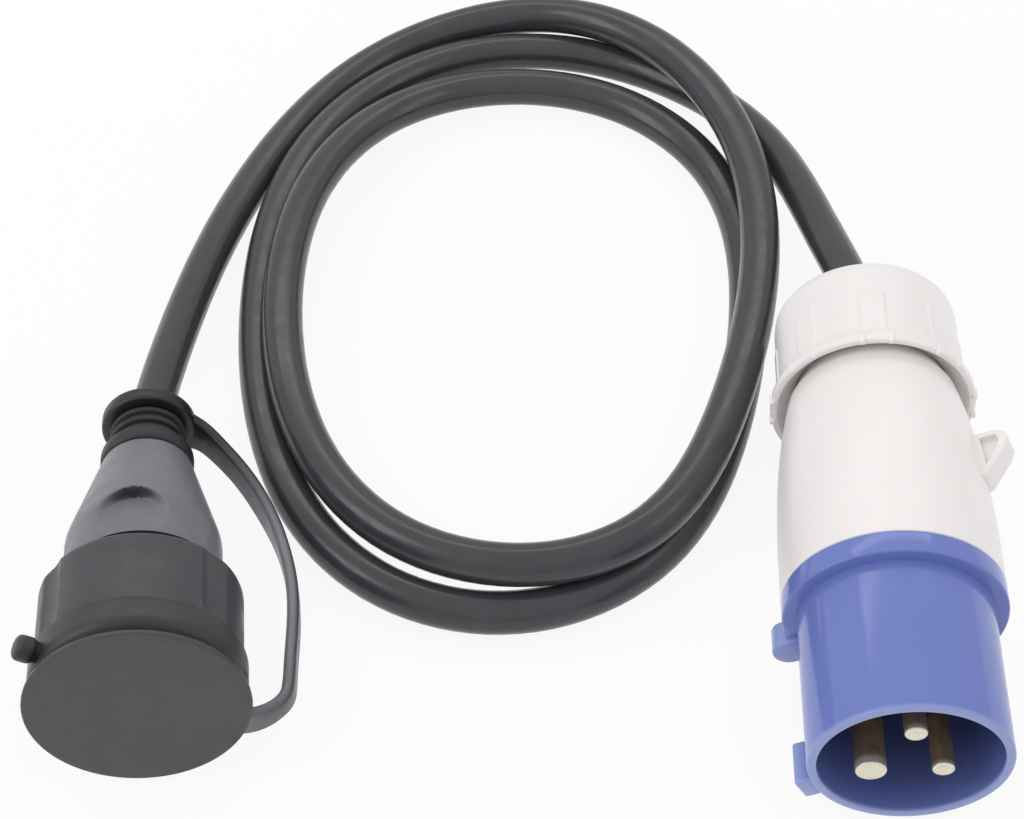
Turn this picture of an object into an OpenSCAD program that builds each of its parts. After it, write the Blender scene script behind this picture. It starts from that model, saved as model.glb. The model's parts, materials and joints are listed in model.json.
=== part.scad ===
// Adapter lead: a three-pin industrial plug (IEC 60309 form) and an earthed two-pin rubber
// coupling with a tethered cap, joined by a round rubber cable that lies in two loose turns.
// Millimetres, Z up, floor at Z = 0. Both connectors lie down and face -Y.
// Each connector is built along its own axis: local Z is 0 at its front face and falls to the rear.

/* [Cable] */
// Outside diameter of the rubber cable
cable_d = 10.6; // [9.5:0.1:11.5]
// Diameter of each insulated core
core_d = 2.8; // [2.2:0.1:3]

/* [Plug front] */
// Outside diameter of the shroud around the pins
shroud_d = 44.5; // [42:0.5:46]
// Wall of the shroud
shroud_wall = 2.2; // [1.6:0.1:2.8]
// Length of the shroud in front of its flange
shroud_len = 38; // [34:0.5:42]
// Thickness of the flange
flange_len = 5.5; // [4:0.5:8]
// Height of the flange, and of the body behind it, over the shroud
flange_step = 3.25; // [2.5:0.05:5]
// Diameter of the circle that the pins stand on
pin_circle_d = 18.2; // [17:0.2:19.4]
// Diameter of the line and neutral pins
pole_pin_d = 5; // [4:0.1:6]
// Diameter of the earth pin
earth_pin_d = 7; // [6:0.1:8]
// How far the line and neutral tips sit behind the rim
pole_pin_set = 1.6; // [0.5:0.1:6]
// How far the earth tip sits behind the rim
earth_pin_set = 0.6; // [0.2:0.1:4]
// Width of the key rib
key_w = 6.4; // [4:0.2:8]
// Height of the key rib over the shroud
key_h = 3.6; // [2:0.2:5]
// Length of the key rib
key_len = 10.5; // [8:0.5:20]
// Reach of the rounded lug over the flange
lug_h = 4.6; // [3:0.2:6]

/* [Plug body] */
// Length of the body between flange and nut
body_len = 57.5; // [52:0.5:64]
// Width of the retaining hook
hook_w = 6.6; // [5:0.2:9]
// Height of the retaining hook over the body
hook_h = 7.6; // [5:0.2:9]
// Length of the retaining hook
hook_len = 13; // [11:0.5:16]

/* [Gland] */
// How far the nut's lip stays inside the body's outline
lip_set = 0.5; // [0.3:0.1:1.5]
// Wall of the nut's front lip
lip_wall = 2.5; // [1.5:0.1:3]
// Open gap between the lip and the body
mouth_gap = 1.8; // [1:0.1:2.5]
// Step from the lip down to the nut
nut_step = 2.3; // [1.5:0.1:3]
// Wall of the nut over its thread
nut_wall = 4; // [3:0.1:5]
// Length of the gland nut
nut_len = 30.5; // [28:0.5:34]
// Thickness of the nut's rear wall
nut_floor = 6.5; // [4:0.5:8]
// Number of raised grip lands around the nut
nut_lands = 8; // [6:1:10]
// Height of a grip land
land_h = 0.5; // [0.3:0.1:1]
// Width of a grip land
land_w = 7; // [5:0.5:9]

/* [Coupling] */
// Wall of the insert around the socket recess
shell_wall = 0.85; // [0.7:0.05:1.5]
// Wall of the collar's spigot under the cap
spigot_wall = 1.35; // [1:0.05:2]
// Step from the spigot up to the collar
collar_step = 1.2; // [0.8:0.1:2]
// Length of the collar behind the cap
collar_len = 20.1; // [18:0.5:24]
// Diameter of the socket recess
recess_d = 39.5; // [39:0.1:40.2]
// Depth of the socket recess
recess_depth = 17.5; // [15:0.5:19]
// Distance between the two pole holes
pole_pitch = 19; // [18:0.2:20]
// Width of the earth strip
earth_w = 5; // [4:0.5:6]
// Diameter of a pole hole
pole_hole_d = 5.4; // [5:0.1:6]
// Diameter of the grip at its base
grip_d = 36.6; // [36:0.2:37.6]
// Length of the grip's straight base behind the collar
grip_base_len = 16; // [12:0.5:18]
// Length of the grip's cone
grip_cone_len = 26.5; // [24:0.5:30]
// Diameter of the grip at its rear end
grip_rear_d = 21.6; // [21:0.2:23]
// Width of the arched thumb recess
thumb_w = 18; // [14:0.5:20]
// Depth of the thumb recess at its arch
thumb_depth = 1.9; // [1.2:0.1:2.4]
// Slope of the thumb recess, which runs out towards the collar
thumb_tilt = 9.5; // [6:0.5:12]
// Depth of the shallow flutes in the collar
flute_depth = 1.1; // [0.4:0.1:1.2]

/* [Neck] */
// Diameter of the bead behind the grip
bead_d = 22.6; // [21:0.2:25]
// Diameter over the neck's ridges
ridge_d = 18.6; // [18:0.2:21]
// Number of ridges on the neck
ridges = 3; // [2:1:4]

/* [Cap and tether] */
// How far the cap's face stands over its skirt
cap_rim = 0.8; // [0.4:0.1:1.5]
// Thickness of the cap's rim in front of the groove
rim_t = 1.5; // [1:0.1:2.2]
// Depth of the groove behind the cap's rim, from the skirt
groove_depth = 1.8; // [1:0.1:1.9]
// Wall of the cap's skirt
skirt_wall = 1.6; // [1.2:0.1:1.9]
// Thickness of the cap's face
cap_t = 2.8; // [2.2:0.1:3.4]
// Length of the cap's skirt behind the groove
skirt_len = 5.9; // [5:0.1:6.3]
// Diameter of the pull nub
nub_d = 5.8; // [4.5:0.1:7]
// How far the strap's hinge stands out from the cap's edge
hinge_out = 8.6; // [7:0.2:11]
// Width of the tether strap
strap_w = 7; // [5:0.5:8]
// Thickness of the tether strap
strap_t = 2.6; // [2:0.1:3]
// Outside diameter of the tether ring
ring_d = 23; // [22:0.5:25]

/* [Fits] */
// Clearance between pieces that stay together
fit = 0.05; // [0.02:0.01:0.1]
// Clearance between pieces that move
run_gap = 0.3; // [0.25:0.05:0.4]
// Clearance of the cap's skirt, so that it can swing off
cap_gap = 0.6; // [0.55:0.05:0.7]

/* [Layout] */
// Turn of the plug about Z
plug_yaw = -1.8; // [-10:0.1:10]
// Turn of the coupling about Z
coupling_yaw = 5.6; // [-10:0.1:10]
// Rise of the coupling's axis towards its face
coupling_tilt = 5.6; // [2:0.1:8]

/* [Hidden] */
$fn = 96;
e = 0.01;
WHITE = [0.93, 0.91, 0.89];
BLUE = [0.27, 0.35, 0.68];
NAVY = [0.16, 0.2, 0.42];
GREY = [0.5, 0.5, 0.52];
DARK = [0.3, 0.3, 0.32];
BLACK = [0.14, 0.14, 0.15];
BRASS = [0.78, 0.68, 0.42];
STEEL = [0.75, 0.75, 0.77];
pin_angles = [210, 90, 330];
key_angle = 210;
hook_angle = 27;
strap_angle = -16;
nub_angle = 147;
thumb_angle = 106;
flute_angles = [38, 142, 218, 322];

// Plug, as distances behind the rim
cable_r = cable_d / 2;
core_r = core_d / 2;
shroud_r = shroud_d / 2;
bore_r = shroud_r - shroud_wall;
body_r = shroud_r + flange_step;
nut_lip_r = body_r - lip_set;
lip_in = nut_lip_r - lip_wall;
body_rear_r = lip_in - mouth_gap;
nut_r = nut_lip_r - nut_step;
thread_r = nut_r - nut_wall;
flange_at = shroud_len;
body_at = flange_at + flange_len;
seat_at = flange_at + 4;
seat_r = bore_r - 0.85;
spigot_r = seat_r + 2.2;
spigot_end = body_at + 14.5;
carrier_at = seat_at - 5;
boss_at = carrier_at - 1.2;
carrier_end = spigot_end - 1;
collar_at = seat_at + 4;
barrel_at = collar_at + 3;
barrel_end = spigot_end + 8;
screw_at = barrel_end - 5;
wire_r = core_r + 0.25;
lip_at = body_at + body_len;
plug_end = lip_at + nut_len;
floor_at = plug_end - nut_floor;
neck_at = lip_at + 5;
neck_end = floor_at - 3.5;
neck_r = thread_r - run_gap;
gland_r = cable_r + 7.3;
web_at = lip_at - 2;
seal_at = neck_at + 2;
seal_end = seal_at + 7.5;
cavity_r = spigot_r + fit - 1;
land_r = nut_r + land_h;
jacket_end = lip_at - 6;
hook_at = body_at + 25;
body_shape = 2.8;
function body_radius(at) = let (t = max(0, min(1, (at - body_at) / body_len)))
    body_r - (body_r - body_rear_r) * pow(t, body_shape);

// Coupling, as distances behind the cap's face
recess_r = recess_d / 2;
shell_r = recess_r + shell_wall;
spigot_c = shell_r + fit + spigot_wall;
skirt_r = spigot_c + cap_gap + skirt_wall;
cap_r = skirt_r + cap_rim;
cap_front = 0.9;
skirt_at = cap_t + 1.8;
skirt_end = skirt_at + skirt_len;
front_at = cap_t + run_gap;
collar_from = skirt_end + run_gap;
collar_end = collar_from + collar_len;
collar_r = spigot_c + collar_step;
rim_at = front_at + 0.8;
sole_at = rim_at + recess_depth;
sole_end = sole_at + 4.5;
ledge_end = sole_end + 2;
wall_at = ledge_end;
grip_r = grip_d / 2;
grip_wall = 1.7;
grip_in = grip_r - grip_wall;
cone_at = collar_end + grip_base_len;
cone_end = cone_at + grip_cone_len;
cone_r = grip_rear_d / 2;
grip_slope = (grip_r - cone_r) / grip_cone_len;
thumb_end = cone_at + 7.5;
thumb_flat = grip_r - grip_slope * 7.5 - thumb_depth;
block_r = grip_in - 0.3;
block_flat = thumb_flat - 1.7;
block_end = sole_end + 14;
tulip_bore = pole_hole_d / 2;
tulip_r = tulip_bore + 1.4;
tulip_end = sole_at + 19.5;
contact_end = tulip_end + 8;
contact_screw = contact_end - 4;
sleeve_at = cone_end - 8;
earth_r = wire_r + 1.75;
sleeve_r = cone_r - 2.2;
bead_at = cone_end;
bead_end = bead_at + 4.4;
neck_base = ridge_d / 2 - 1.3;
ring_at = bead_end + 9.2;
ring_end = ring_at + 4;
sleeve_end = ring_end + 2;
clamp_len = 4.5;
clamp_at = sleeve_at - 2.1 - clamp_len;
jacket_at = clamp_at - 0.5;
clamp_x = cable_r + 1.9;
clamp_half = clamp_x + 1.5;
clamp_top = cable_r + 1.4;
tongue_low = cable_r + 2.3;

// Places of the two connectors. The origin is the middle of their box, on the floor.
plug_pos = [80.4, -65.7, body_r];
coupling_rest = max(
    cap_r * cos(coupling_tilt) + 1.5 * sin(coupling_tilt),
    collar_r * cos(coupling_tilt) + (collar_end - 4) * sin(coupling_tilt)
);
coupling_pos = [-86.8, -51, coupling_rest];
plug_dir = [sin(plug_yaw), -cos(plug_yaw), 0];
coupling_dir = [
    sin(coupling_yaw) * cos(coupling_tilt), -cos(coupling_yaw) * cos(coupling_tilt), sin(coupling_tilt)
];
function on_plug(at) = plug_pos - at * plug_dir;
function on_coupling(at) = coupling_pos - at * coupling_dir;

// Route of the cable, as the points of a smooth spline: from the coupling over the outer turn,
// round twice, under the first turn and up into the gland.
route_free = [
    [-94.6, 63, 12], [-88.6, 107, 7.5], [-74.6, 153, 5], [-52.6, 188, 5.5],
    [-22.6, 207, 7.5], [10.4, 207, 13.5], [40.4, 185, 18.5], [61.6, 145, 18.8],
    [63.7, 96, 16.8], [51.4, 45, 16.4], [33.4, 4, 16.7], [0.4, -8, 14.5],
    [-34.6, 3, 12], [-58.6, 34, 12], [-67.6, 79, 15], [-63.6, 126, 15],
    [-44.6, 163, 10.5], [-10.6, 181, 7], [27.4, 175, 6.5], [55.6, 145, 6],
    [61.8, 100.5, 5.6], [53.2, 48, 5.4], [36.4, 6, 5.5], [4.4, -14, 5.5],
    [-29.6, -11, 5.5], [-56.6, 12, 5.5], [-70.6, 51, 5.5], [-74.6, 98, 6],
    [-68.6, 141, 8.5], [-48.6, 176, 7.5], [-16.6, 197, 6], [19.4, 197, 5],
    [52.4, 176, 7], [71.4, 143, 13], [78.4, 104, 19]
];
route = concat(
    [for (k = [-17, 0, 17, 34]) on_coupling(jacket_at + k)],
    route_free,
    [for (k = [44, 22, 0, -22]) on_plug(jacket_end + k)]
);

// Spline through a list of points, and a tube along it
function spline_at(p, i, t) = (
    pow(1 - t, 3) * p[i] + (3 * pow(t, 3) - 6 * t * t + 4) * p[i + 1]
    + (-3 * pow(t, 3) + 3 * t * t + 3 * t + 1) * p[i + 2] + pow(t, 3) * p[i + 3]
) / 6;
function spline(p, per) = concat(
    [for (i = [0 : len(p) - 4], k = [0 : per - 1]) spline_at(p, i, k / per)],
    [spline_at(p, len(p) - 4, 1)]
);
function unit(v) = v / norm(v);
function along(c, i) = unit(c[min(i + 1, len(c) - 1)] - c[max(i - 1, 0)]);

module tube_along(c, r, sides, up) {
    n = len(c);
    pts = [
        for (i = [0 : n - 1])
            let (t = along(c, i), a = unit(cross(t, up)), b = cross(a, t))
                for (j = [0 : sides - 1]) c[i] + r * (cos(360 * j / sides) * a + sin(360 * j / sides) * b)
    ];
    faces = concat(
        [[for (j = [sides - 1 : -1 : 0]) j]],
        [
            for (i = [0 : n - 2], j = [0 : sides - 1])
                let (a = i * sides, b = a + sides, k = (j + 1) % sides) [a + j, a + k, b + k, b + j]
        ],
        [[for (j = [0 : sides - 1]) (n - 1) * sides + j]]
    );
    polyhedron(points = pts, faces = faces, convexity = 10);
}

// Band of thickness t along a flat path
function band(c, t) = concat(
    [for (i = [0 : len(c) - 1]) let (d = along(c, i)) c[i] + t / 2 * [d[1], -d[0]]],
    [for (i = [len(c) - 1 : -1 : 0]) let (d = along(c, i)) c[i] - t / 2 * [d[1], -d[0]]]
);

module at_plug() translate(plug_pos) rotate([90, 0, plug_yaw]) children();
module at_coupling() translate(coupling_pos) rotate([90 - coupling_tilt, 0, coupling_yaw]) children();
module lathe(p) rotate_extrude($fn = 120) polygon(p);
module rod(r, from, to) translate([0, 0, -to]) cylinder(r = r, h = to - from);
module polar(a, r) rotate([0, 0, a]) translate([r, 0, 0]) children();
// A flat outline in the plane of the axis at angle a, w thick
module rib(a, w, p) rotate([0, 0, a]) translate([0, w / 2, 0]) rotate([90, 0, 0])
    linear_extrude(w) polygon(p);

function pin_r(i) = (i == 0 ? earth_pin_d : pole_pin_d) / 2;
function barrel_r(i) = pin_r(i) + 0.9;
function root_r(i) = pin_r(i) + 0.3;
function pin_collar_r(i) = pin_r(i) + 1.3;
function pin_set(i) = i == 0 ? earth_pin_set : pole_pin_set;

// Blue shroud, flange, key rib, lug and rear spigot, moulded as one
module plug_shroud() color(BLUE) at_plug() {
    lathe([
        [bore_r, -0.3], [bore_r + 0.3, 0], [shroud_r - 0.5, 0], [shroud_r, -0.5],
        [shroud_r, -(flange_at - 1.6)], [shroud_r + 0.5, -(flange_at - 0.5)], [shroud_r + 1.5, -flange_at],
        [body_r - 0.5, -flange_at],
        [body_r, -(flange_at + 0.5)], [body_r, -body_at], [spigot_r, -body_at], [spigot_r, -spigot_end],
        [seat_r, -spigot_end], [seat_r, -seat_at], [bore_r, -seat_at]
    ]);
    translate([0, 0, -(key_len + 0.4)]) linear_extrude(key_len) rotate([0, 0, key_angle])
        translate([shroud_r - 0.9, -key_w / 2]) square([key_h + 0.9, key_w]);
    translate([0, 0, -body_at]) linear_extrude(flange_len + 1.2) rotate([0, 0, key_angle]) {
        translate([body_r + lug_h - 4, 0]) circle(r = 4);
        translate([body_r - 1.4, -4]) square([lug_h - 2.6, 8]);
    }
}

// Insulating carrier that the pins stand in
module pin_carrier() color(NAVY) at_plug() difference() {
    union() {
        lathe([
            [0, -carrier_at], [bore_r - fit - 0.4, -carrier_at], [bore_r - fit, -(carrier_at + 0.4)],
            [bore_r - fit, -seat_at], [seat_r - fit, -seat_at], [seat_r - fit, -carrier_end],
            [0, -carrier_end]
        ]);
        for (i = [0 : 2]) polar(pin_angles[i], pin_circle_d / 2)
            rod(root_r(i) + 1.2, boss_at, carrier_at + 1);
    }
    for (i = [0 : 2]) polar(pin_angles[i], pin_circle_d / 2) {
        rod(root_r(i) + fit, carrier_at - 2, carrier_end + 1);
        rod(pin_collar_r(i) + fit, collar_at, carrier_end + 1);
    }
}

// Turned pin with its collar and screw terminal
module pin(i) color(BRASS) at_plug() polar(pin_angles[i], pin_circle_d / 2) difference() {
    lathe([
        [0, -pin_set(i)], [pin_r(i) - 1, -pin_set(i)], [pin_r(i) - 0.3, -(pin_set(i) + 0.4)],
        [pin_r(i), -(pin_set(i) + 1.2)], [pin_r(i), -boss_at], [root_r(i), -boss_at],
        [root_r(i), -collar_at], [pin_collar_r(i), -collar_at],
        [pin_collar_r(i), -barrel_at], [barrel_r(i), -barrel_at], [barrel_r(i), -barrel_end],
        [wire_r, -barrel_end], [wire_r, -(barrel_end - 9)], [0, -(barrel_end - 9)]
    ]);
    translate([0, 0, -screw_at]) rotate([0, 90, 0]) cylinder(r = 1.4 + fit, h = 10, $fn = 32);
}
module pin_earth() pin(0);
module pin_line() pin(1);
module pin_neutral() pin(2);

// Slotted grub screw in a pin's terminal
module plug_screw(i) color(STEEL) at_plug() polar(pin_angles[i], pin_circle_d / 2)
    translate([core_r + fit, 0, -screw_at]) rotate([0, 90, 0]) slotted_screw(barrel_r(i) + 1 - core_r);
module slotted_screw(len) difference() {
    cylinder(r = 1.4, h = len, $fn = 32);
    translate([-2, -0.25, len - 0.7]) cube([4, 0.5, 1]);
}
module plug_screw_earth() plug_screw(0);
module plug_screw_line() plug_screw(1);
module plug_screw_neutral() plug_screw(2);

// White body: barrel, hook, threaded neck and gland chamber, moulded as one
module plug_body() color(WHITE) at_plug() {
    lathe(concat(
        [[spigot_r + fit, -body_at]],
        [for (i = [0 : 12]) let (at = body_at + body_len * i / 12) [body_radius(at), -at]],
        [
            [neck_r, -neck_at], [neck_r, -(neck_end - 0.8)], [neck_r - 0.8, -neck_end], [gland_r, -neck_end],
            [gland_r, -seal_at], [cable_r + 1.2, -seal_at], [cable_r + 1.2, -web_at], [gland_r, -web_at],
            [cavity_r, -(web_at - 13)], [cavity_r, -(spigot_end + 1)], [spigot_r + fit, -(spigot_end + 1)]
        ]
    ));
    r0 = body_radius(hook_at);
    r1 = body_radius(hook_at + hook_len);
    difference() {
        rib(hook_angle, hook_w, [
            [r0 - 1.6, -(hook_at - 0.4)], [r0 + 0.9, -hook_at],
            [r1 + hook_h - 0.6, -(hook_at + hook_len - 6)], [r1 + hook_h + 0.4, -(hook_at + hook_len - 3.6)],
            [r1 + hook_h, -(hook_at + hook_len - 1.4)],
            [r1 + hook_h - 1.6, -(hook_at + hook_len - 0.2)], [r1 - 1.4, -(hook_at + hook_len)]
        ]);
        for (s = [-1, 1]) rotate([0, 0, hook_angle]) translate([0, s * hook_w / 2, 0])
            rib(0, hook_w * 0.44, [
                [r0 + 1.2, -(hook_at + 3.2)], [r1 + hook_h - 2.4, -(hook_at + hook_len - 5.4)],
                [r1 + hook_h - 1.7, -(hook_at + hook_len - 3.4)],
                [r1 + hook_h - 2.4, -(hook_at + hook_len - 1.7)], [r1 + 1.4, -(hook_at + hook_len - 1.7)]
            ]);
    }
}

// Rubber seal that the gland squeezes on the cable
module gland_seal() color(BLACK) at_plug() lathe([
    [cable_r + fit, -seal_at], [gland_r - fit, -seal_at], [gland_r - fit, -seal_end],
    [cable_r + 1.6, -seal_end], [cable_r + fit, -(seal_end - 2)]
]);

// Clamping ring that the nut pushes on the seal
module gland_claw() color(WHITE) at_plug() difference() {
    lathe([
        [cable_r + 1.2, -(seal_end + run_gap)], [gland_r - run_gap, -(seal_end + run_gap)],
        [gland_r - run_gap, -(floor_at - run_gap)], [cable_r + 1.2, -(floor_at - run_gap)]
    ]);
    for (k = [0 : 5]) rotate([0, 0, 60 * k]) translate([0, -0.7, -(floor_at + 1)])
        cube([gland_r + 2, 1.4, 6]);
}

// Gland nut with its front lip and raised grip lands
module gland_nut() color(WHITE) at_plug() {
    lathe([
        [lip_in, -lip_at], [nut_lip_r - 0.5, -lip_at], [nut_lip_r, -(lip_at + 0.6)],
        [nut_lip_r, -(lip_at + 3.2)], [nut_r + 0.6, -(lip_at + 5)], [nut_r, -(lip_at + 6.4)],
        [nut_r, -(plug_end - 3)],
        [nut_r - 0.4, -(plug_end - 1.7)], [nut_r - 1.3, -(plug_end - 0.5)], [nut_r - 2.6, -plug_end],
        [cable_r + 2.9, -plug_end], [cable_r + 1.9, -(plug_end - 1)], [cable_r + 1.9, -floor_at],
        [thread_r, -floor_at], [thread_r, -(neck_at + run_gap)], [thread_r + 0.6, -(neck_at - 0.5)],
        [lip_in - 0.4, -(lip_at + 1.5)]
    ]);
    for (k = [0 : nut_lands - 1]) translate([0, 0, -(plug_end - 4.5)])
        linear_extrude(nut_len - 4.5 - 4.2) rotate([0, 0, 88 + 360 / nut_lands * k]) intersection() {
            difference() { circle(r = land_r); circle(r = nut_r - 0.5); }
            translate([nut_r - 2, -land_w / 2]) square([4, land_w]);
        }
}

// Cores from the cable's end to the terminals, inside the body
module plug_core(i, col) color(col) at_plug() {
    a = pin_angles[i];
    r = 0.48 * (cable_r - 0.6);
    d = [cos(a), sin(a)];
    p = [
        for (k = [[r, -2], [r, 5], [r + 0.4, 11], [r + 2.4, 17], [pin_circle_d / 2 - 0.4, 23],
            [pin_circle_d / 2, jacket_end - barrel_end], [pin_circle_d / 2, jacket_end - barrel_end + 8],
            [pin_circle_d / 2, jacket_end - barrel_end + 9]])
            [d[0] * k[0], d[1] * k[0], -(jacket_end - k[1])]
    ];
    c = spline(p, 2);
    start = [d[0] * r, d[1] * r, -jacket_end];
    tube_along(concat([start], [for (k = [1 : len(c) - 1]) c[k]]), core_r, 8, [-d[1], d[0], 0]);
}
module plug_core_earth() plug_core(0, [0.45, 0.6, 0.2]);
module plug_core_line() plug_core(1, [0.4, 0.25, 0.15]);
module plug_core_neutral() plug_core(2, [0.2, 0.35, 0.7]);

// The cable
module cable() color(BLACK) tube_along(spline(route, 2), cable_r, 10, [0, 0, 1]);

// Dark collar of the coupling, with the spigot that the cap sits on
module coupling_collar() color(DARK) at_coupling() difference() {
    lathe([
        [shell_r + fit, -front_at], [spigot_c - 0.5, -front_at], [spigot_c, -(front_at + 0.5)],
        [spigot_c, -collar_from], [collar_r, -collar_from], [collar_r, -(collar_end - 4)],
        [collar_r - 0.4, -(collar_end - 2.4)], [collar_r - 1.4, -(collar_end - 0.9)],
        [grip_r + fit + 1.65, -collar_end], [grip_r + 1, -collar_end],
        [grip_r + fit, -(collar_end - 1.6)],
        [grip_r + fit, -wall_at], [shell_r + fit, -wall_at]
    ]);
    for (a = flute_angles) polar(a, collar_r + 9 - flute_depth) rod(9, collar_from + 2, collar_end + 1);
}

// Socket insert: recess, sole with the pole holes, contact block and cable tongue
module socket_insert() color(BLACK) at_coupling() difference() {
    union() {
        lathe([
            [recess_r, -rim_at], [shell_r, -rim_at], [shell_r, -sole_end], [block_r, -sole_end],
            [block_r, -block_end], [0, -block_end], [0, -sole_at], [recess_r, -sole_at]
        ]);
        for (s = [0, 180]) rotate([0, 0, s]) translate([recess_r - 1.3, -2.6, -(sole_at + 1)])
            cube([2, 5.2, recess_depth - 3]);
        translate([-clamp_half, -tongue_low, -(clamp_at + clamp_len)])
            cube([2 * clamp_half, tongue_low - cable_r - fit, clamp_at + clamp_len - block_end + 2]);
    }
    for (a = [0, 180]) rotate([0, 0, thumb_angle + a]) translate([block_flat, -20, -(block_end + 1)])
        cube([20, 40, block_end + 1 - sole_end - 1.9]);
    for (s = [-1, 1]) translate([s * pole_pitch / 2, 0, 0]) {
        rod(pole_hole_d / 2, sole_at - 1, sole_end + 1);
        rod(tulip_r + 0.2, sole_end, block_end + 20);
    }
    rod(earth_r + 0.2, sole_end - 1.8, block_end + 20);
    translate([-earth_w / 2 - 0.2, -(recess_r - 0.9), -(sole_end + e)])
        cube([earth_w + 0.4, 2 * recess_r - 1.8, 1.8 + e]);
    for (s = [-1, 1]) translate([-earth_w / 2 - 0.2, s * (recess_r - 1.6) - 0.7, -sole_end])
        cube([earth_w + 0.4, 1.4, 6]);
    for (s = [-1, 1]) translate([s * clamp_x, -(tongue_low + 1), -(clamp_at + clamp_len / 2)])
        rotate([-90, 0, 0]) cylinder(r = 1.2 + fit, h = 6, $fn = 32);
    translate([0, 0, -(sole_at + 0.9)]) cylinder(r = 2.6, h = 2);
}

// Sprung sleeve contact with its screw terminal
module contact(s) color(BRASS) at_coupling() translate([s * pole_pitch / 2, 0, 0]) difference() {
    lathe([
        [tulip_bore, -sole_end], [tulip_r, -sole_end], [tulip_r, -contact_end], [wire_r, -contact_end],
        [wire_r, -(contact_end - 6.5)], [0, -(contact_end - 6.5)], [0, -tulip_end], [tulip_bore, -tulip_end]
    ]);
    translate([-0.4, -5, -(tulip_end - 3)]) cube([0.8, 10, 20]);
    translate([0, 0, -contact_screw]) rotate([-90, 0, 0]) cylinder(r = 1.4 + fit, h = 10, $fn = 32);
}
module contact_line() contact(1);
module contact_neutral() contact(-1);

// Earth bow: strip behind the sole, two sprung ends in the recess and a terminal
module earth_bow() color(BRASS) at_coupling() difference() {
    union() {
        y = recess_r - 1.6;
        translate([-earth_w / 2, -(y + 0.6), -(sole_end - 0.3)]) cube([earth_w, 2 * y + 1.2, 1.2]);
        for (s = [0, 180]) rotate([0, 0, s]) rib(90, earth_w, [
            [y - 0.6, -(sole_end - 0.4)], [y - 0.6, -(sole_at - 5)], [y - 3.2, -(sole_at - 9)],
            [y - 0.8, -(sole_at - 13)], [y + 0.5, -(sole_at - 13)], [y - 1.9, -(sole_at - 9)],
            [y + 0.6, -(sole_at - 5)], [y + 0.6, -(sole_end - 0.4)]
        ]);
        rod(earth_r, sole_end - 1.4, contact_end);
    }
    rod(wire_r, contact_end - 6.5, contact_end + 1);
    translate([0, 0, -contact_screw]) rotate([-90, 0, 0]) cylinder(r = 1.4 + fit, h = 10, $fn = 32);
}

// Grub screws of the three coupling terminals
module coupling_screw(x, r) color(STEEL) at_coupling() translate([x, core_r + fit, -contact_screw])
    rotate([-90, 0, 0]) slotted_screw(r + 0.9 - core_r);
module coupling_screw_line() coupling_screw(pole_pitch / 2, tulip_r);
module coupling_screw_neutral() coupling_screw(-pole_pitch / 2, tulip_r);
module coupling_screw_earth() coupling_screw(0, earth_r);

// Grey grip: straight base, cone and two arched thumb recesses
module coupling_grip() color(GREY) at_coupling() difference() {
    lathe([
        [0, -sole_end], [shell_r - fit, -sole_end], [shell_r - fit, -ledge_end], [grip_r, -ledge_end],
        [grip_r, -cone_at], [cone_r + 0.5, -(cone_end - 1)], [cone_r - 0.4, -cone_end], [0, -cone_end]
    ]);
    intersection() {
        lathe([
            [0, -(sole_end - 1)], [grip_in, -(sole_end - 1)], [grip_in, -cone_at],
            [grip_in - grip_slope * (sleeve_at - cone_at), -sleeve_at], [0, -sleeve_at]
        ]);
        rotate([0, 0, thumb_angle]) translate([-(thumb_flat - 1.4), -30, -sleeve_at - 1])
            cube([2 * thumb_flat - 2.8, 60, sleeve_at - sole_end - 1]);
    }
    rod(grip_in, sole_end - 1, sole_end + 2.1);
    rod(sleeve_r + fit, sleeve_at - 1, cone_end + 1);
    for (a = [0, 180]) rotate([0, 0, thumb_angle + a]) translate([thumb_flat, 0, -thumb_end])
        rotate([0, 90 + thumb_tilt, 0]) linear_extrude(12) {
            translate([-thumb_w / 2, 0]) circle(r = thumb_w / 2);
            translate([-(thumb_end - collar_end - 0.8), -thumb_w / 2])
                square([thumb_end - thumb_w / 2 - collar_end - 0.8, thumb_w]);
        }
}

// Bridge that clamps the cable on the insert's tongue, and its two screws
module cord_clamp() color(BLACK) at_coupling() difference() {
    translate([-clamp_half, cable_r * 0.4, -(clamp_at + clamp_len)])
        cube([2 * clamp_half, clamp_top - cable_r * 0.4, clamp_len]);
    rod(cable_r + fit, clamp_at - 1, clamp_at + clamp_len + 1);
    for (s = [-1, 1]) translate([s * clamp_x, -10, -(clamp_at + clamp_len / 2)]) rotate([-90, 0, 0])
        cylinder(r = 1.2 + fit, h = 30, $fn = 32);
}
module clamp_screw(s) color(STEEL) at_coupling() translate([s * clamp_x, 0, -(clamp_at + clamp_len / 2)])
    rotate([-90, 0, 0]) difference() {
        union() {
            translate([0, 0, -tongue_low + 0.2]) cylinder(r = 1.2, h = tongue_low + clamp_top, $fn = 32);
            translate([0, 0, clamp_top]) cylinder(r = 1.5, h = 0.9, $fn = 32);
        }
        translate([-3, -0.25, clamp_top + 0.45]) cube([6, 0.5, 2]);
    }
module clamp_screw_right() clamp_screw(1);
module clamp_screw_left() clamp_screw(-1);

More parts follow.
